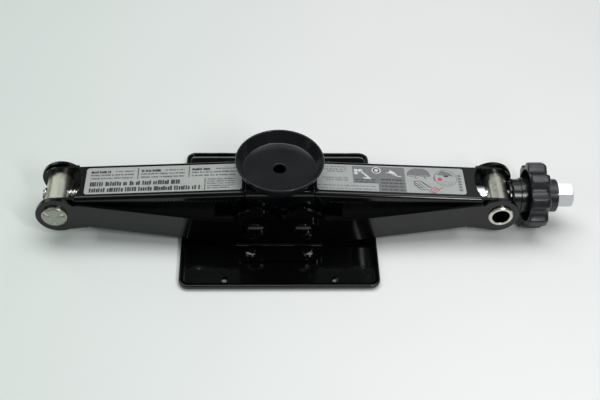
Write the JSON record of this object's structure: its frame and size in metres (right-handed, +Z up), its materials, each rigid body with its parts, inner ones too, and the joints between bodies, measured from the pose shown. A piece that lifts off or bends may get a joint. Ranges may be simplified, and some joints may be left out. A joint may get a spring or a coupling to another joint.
{
  "type": "scissor car jack",
  "caption": "Black scissor car jack, lowered: pressed base plate, folding channel arms, round saddle cup, and a lead screw turned by a lobed knob and hex nut.",
  "frame": {"origin": "on the ground under the middle of the base plate", "axes": "+X along the lead screw towards the turning knob, -Y the front, +Z up towards the saddle"},
  "size_m": [0.4504, 0.1572, 0.0718],
  "materials": {
    "base_enamel": "wet-looking gloss black enamel",
    "arm_enamel": "satin gloss black enamel",
    "saddle_enamel": "satin black enamel",
    "knob_plastic": "moulded charcoal plastic, slightly grained",
    "yellow_zinc": "pale yellow-green zinc plating",
    "white_zinc": "white zinc plating",
    "screw_steel": "oiled rolled steel",
    "label_foil": "silver foil sticker with dark print"
  },
  "bodies": {
    "base": {"base_plate": "base_enamel", "base_bracket_front": "base_enamel", "base_bracket_back": "base_enamel", "foot_rivet_front_left": "base_enamel", "foot_rivet_front_right": "base_enamel", "foot_rivet_back_left": "base_enamel", "foot_rivet_back_right": "base_enamel", "base_pivot_rivet_front_left": "base_enamel", "base_pivot_rivet_front_right": "base_enamel", "base_pivot_rivet_back_left": "base_enamel", "base_pivot_rivet_back_right": "base_enamel"},
    "left_lower_arm": {"lower_arm_left": "arm_enamel"},
    "right_lower_arm": {"lower_arm_right": "arm_enamel"},
    "left_trunnion": {"trunnion_nut_left": "yellow_zinc"},
    "right_trunnion": {"trunnion_right": "yellow_zinc"},
    "left_upper_arm": {"upper_arm_left": "arm_enamel", "label_left": "label_foil"},
    "right_upper_arm": {"upper_arm_right": "arm_enamel", "label_right": "label_foil"},
    "head": {"head_bracket": "base_enamel", "saddle_cup": "saddle_enamel", "head_pivot_rivet_front_left": "base_enamel", "head_pivot_rivet_front_right": "base_enamel", "head_pivot_rivet_back_left": "base_enamel", "head_pivot_rivet_back_right": "base_enamel", "head_spacer_front_left": "arm_enamel", "head_spacer_front_right": "arm_enamel", "head_spacer_back_left": "arm_enamel", "head_spacer_back_right": "arm_enamel"},
    "screw": {"lead_screw": "screw_steel", "retaining_collar": "white_zinc", "thrust_washer": "arm_enamel", "bearing_sleeve": "arm_enamel", "drive_hex": "white_zinc", "knob": "knob_plastic"}
  },
  "joints": [
    {"name": "lift", "type": "hinge", "parent": "base", "child": "left_lower_arm", "pos_m": [-0.0195, 0, 0.024], "axis": [0, 1, 0], "range_deg": [0, 63]},
    {"name": "right_base_pivot", "type": "hinge", "parent": "base", "child": "right_lower_arm", "pos_m": [0.0195, 0, 0.024], "axis": [0, -1, 0], "range_deg": [0, 63]},
    {"name": "left_trunnion_turn", "type": "hinge", "parent": "left_lower_arm", "child": "left_trunnion", "pos_m": [-0.185, 0, 0.03], "axis": [0, 1, 0], "range_deg": [-63, 0]},
    {"name": "left_elbow", "type": "hinge", "parent": "left_lower_arm", "child": "left_upper_arm", "pos_m": [-0.185, 0, 0.03], "axis": [0, 1, 0], "range_deg": [-126, 0]},
    {"name": "head_level", "type": "hinge", "parent": "left_upper_arm", "child": "head", "pos_m": [-0.0195, 0, 0.036], "axis": [0, 1, 0], "range_deg": [0, 63]},
    {"name": "right_trunnion_turn", "type": "hinge", "parent": "right_lower_arm", "child": "right_trunnion", "pos_m": [0.185, 0, 0.03], "axis": [0, -1, 0], "range_deg": [-63, 0]},
    {"name": "right_elbow", "type": "hinge", "parent": "right_lower_arm", "child": "right_upper_arm", "pos_m": [0.185, 0, 0.03], "axis": [0, -1, 0], "range_deg": [-126, 0]},
    {"name": "screw_spin", "type": "hinge", "parent": "right_trunnion", "child": "screw", "pos_m": [0.185, 0, 0.03], "axis": [1, 0, 0], "continuous": true}
  ],
  "couplings": [
    {"joint": "right_base_pivot", "follows": "lift", "ratio": 1},
    {"joint": "left_trunnion_turn", "follows": "lift", "ratio": -1},
    {"joint": "left_elbow", "follows": "lift", "ratio": -2},
    {"joint": "head_level", "follows": "lift", "ratio": 1},
    {"joint": "right_trunnion_turn", "follows": "lift", "ratio": -1},
    {"joint": "right_elbow", "follows": "lift", "ratio": -2}
  ]
}
